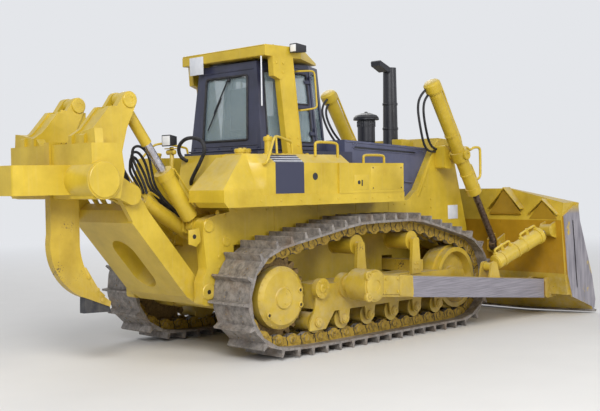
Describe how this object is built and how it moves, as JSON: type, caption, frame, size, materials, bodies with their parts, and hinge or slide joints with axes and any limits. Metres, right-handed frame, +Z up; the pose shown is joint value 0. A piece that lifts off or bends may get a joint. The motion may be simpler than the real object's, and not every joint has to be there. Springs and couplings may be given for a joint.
{
  "type": "crawler bulldozer with ripper",
  "caption": "Crawler bulldozer with a semi-U blade on outside push arms, a cab under a roll bar and a parallelogram ripper with one giant shank.",
  "frame": {"origin": "on the ground, under the middle of the machine's box", "axes": "+X forwards to the blade, +Y to the machine's left, +Z up"},
  "size_m": [8.53, 4.13, 3.754],
  "materials": {
    "yellow_paint": "gloss enamel, dusty",
    "navy_paint": "satin enamel",
    "black_paint": "matt heat-proof paint",
    "worn_steel": "worn bare steel with dust",
    "chrome_rod": "hard chrome",
    "glass": "tinted flat glass",
    "seat_cover": "woven seat cloth"
  },
  "bodies": {
    "chassis": {"cab_base": "navy_paint", "cab_controls": "black_paint", "cab_glass": "glass", "cab_shell": "navy_paint", "carrier_rollers": "yellow_paint", "engine_block": "black_paint", "equalizer_bar": "yellow_paint", "exhaust_stack": "black_paint", "fender_left": "yellow_paint", "fender_right": "yellow_paint", "final_drives": "yellow_paint", "fuel_tank": "yellow_paint", "hood": "navy_paint", "hull": "yellow_paint", "idlers": "yellow_paint", "pivot_shaft": "yellow_paint", "precleaner": "black_paint", "radiator_core": "black_paint", "radiator_grille": "black_paint", "radiator_guard": "yellow_paint", "ripper_bracket": "yellow_paint", "rops": "yellow_paint", "seat": "seat_cover", "side_boxes": "yellow_paint", "sprockets": "yellow_paint", "track_frames": "yellow_paint", "track_left": "worn_steel", "track_right": "worn_steel", "track_rollers": "yellow_paint"},
    "blade_frame": {"blade": "yellow_paint", "cutting_edges": "worn_steel", "push_arms": "yellow_paint", "tilt_barrel": "yellow_paint", "tilt_rod": "chrome_rod", "tilt_brace": "yellow_paint"},
    "lift_barrel_right": {"lift_barrel_right": "yellow_paint"},
    "lift_rod_right": {"lift_rod_right": "chrome_rod"},
    "lift_barrel_left": {"lift_barrel_left": "yellow_paint"},
    "lift_rod_left": {"lift_rod_left": "chrome_rod"},
    "ripper_arm": {"ripper_arm": "yellow_paint"},
    "ripper_beam": {"ripper_beam": "yellow_paint", "ripper_shank": "yellow_paint", "ripper_tooth": "worn_steel"},
    "ripper_tilt_cylinders": {"ripper_tilt_barrels": "yellow_paint", "ripper_tilt_rods": "chrome_rod", "ripper_tilt_forks": "yellow_paint"},
    "ripper_lift_barrels": {"ripper_lift_barrels": "yellow_paint"},
    "ripper_lift_rods": {"ripper_lift_rods": "chrome_rod"},
    "door_right": {"cab_door_right": "navy_paint", "door_glass_right": "glass"},
    "door_left": {"cab_door_left": "navy_paint", "door_glass_left": "glass"}
  },
  "joints": [
    {"name": "blade_lift", "type": "hinge", "parent": "chassis", "child": "blade_frame", "pos_m": [-0.425, 0, 0.78], "axis": [0, -1, 0], "range_deg": [-7.5, 15]},
    {"name": "lift_swing_right", "type": "hinge", "parent": "chassis", "child": "lift_barrel_right", "pos_m": [2.361, -0.985, 2.366], "axis": [0, -1, 0], "range_deg": [-9.99, 19.98]},
    {"name": "lift_stroke_right", "type": "slide", "parent": "lift_barrel_right", "child": "lift_rod_right", "axis": [0.5445, 0, -0.8388], "range_m": [-0.814, 0.4071]},
    {"name": "lift_swing_left", "type": "hinge", "parent": "chassis", "child": "lift_barrel_left", "pos_m": [2.361, 0.985, 2.366], "axis": [0, -1, 0], "range_deg": [-9.99, 19.98]},
    {"name": "lift_stroke_left", "type": "slide", "parent": "lift_barrel_left", "child": "lift_rod_left", "axis": [0.5445, 0, -0.8388], "range_m": [-0.814, 0.4071]},
    {"name": "ripper_lift", "type": "hinge", "parent": "chassis", "child": "ripper_arm", "pos_m": [-2.115, 0, 0.79], "axis": [0, 1, 0], "range_deg": [-72, 10]},
    {"name": "ripper_level", "type": "hinge", "parent": "ripper_arm", "child": "ripper_beam", "pos_m": [-3.055, 0, 1.91], "axis": [0, 1, 0], "range_deg": [-7.97, 57.32]},
    {"name": "ripper_tilt_swing", "type": "hinge", "parent": "chassis", "child": "ripper_tilt_cylinders", "pos_m": [-2.095, 0, 1.54], "axis": [0, 1, 0], "range_deg": [-66.39, 9.23]},
    {"name": "ripper_lift_swing", "type": "hinge", "parent": "chassis", "child": "ripper_lift_barrels", "pos_m": [-1.835, 0, 1.35], "axis": [0, 1, 0], "range_deg": [-61.64, 8.57]},
    {"name": "ripper_lift_stroke", "type": "slide", "parent": "ripper_lift_barrels", "child": "ripper_lift_rods", "axis": [-0.8589, 0, 0.5121], "range_m": [-0.0973, 0.6994]},
    {"name": "door_right_swing", "type": "hinge", "parent": "chassis", "child": "door_right", "pos_m": [-0.263, -0.62484, 2.94232], "axis": [0, 0.122, 0.9925], "range_deg": [0, 85]},
    {"name": "door_left_swing", "type": "hinge", "parent": "chassis", "child": "door_left", "pos_m": [-0.263, 0.62484, 2.94232], "axis": [0, 0.122, -0.9925], "range_deg": [0, 85]}
  ],
  "couplings": [
    {"joint": "lift_swing_right", "follows": "blade_lift", "ratio": 1.3312},
    {"joint": "lift_stroke_right", "follows": "blade_lift", "m_per_rad": -3.1084},
    {"joint": "lift_swing_left", "follows": "blade_lift", "ratio": 1.3312},
    {"joint": "lift_stroke_left", "follows": "blade_lift", "m_per_rad": -3.1084},
    {"joint": "ripper_level", "follows": "ripper_lift", "ratio": -0.796},
    {"joint": "ripper_tilt_swing", "follows": "ripper_lift", "ratio": 0.922},
    {"joint": "ripper_lift_swing", "follows": "ripper_lift", "ratio": 0.856},
    {"joint": "ripper_lift_stroke", "follows": "ripper_lift", "m_per_rad": -0.5564}
  ]
}
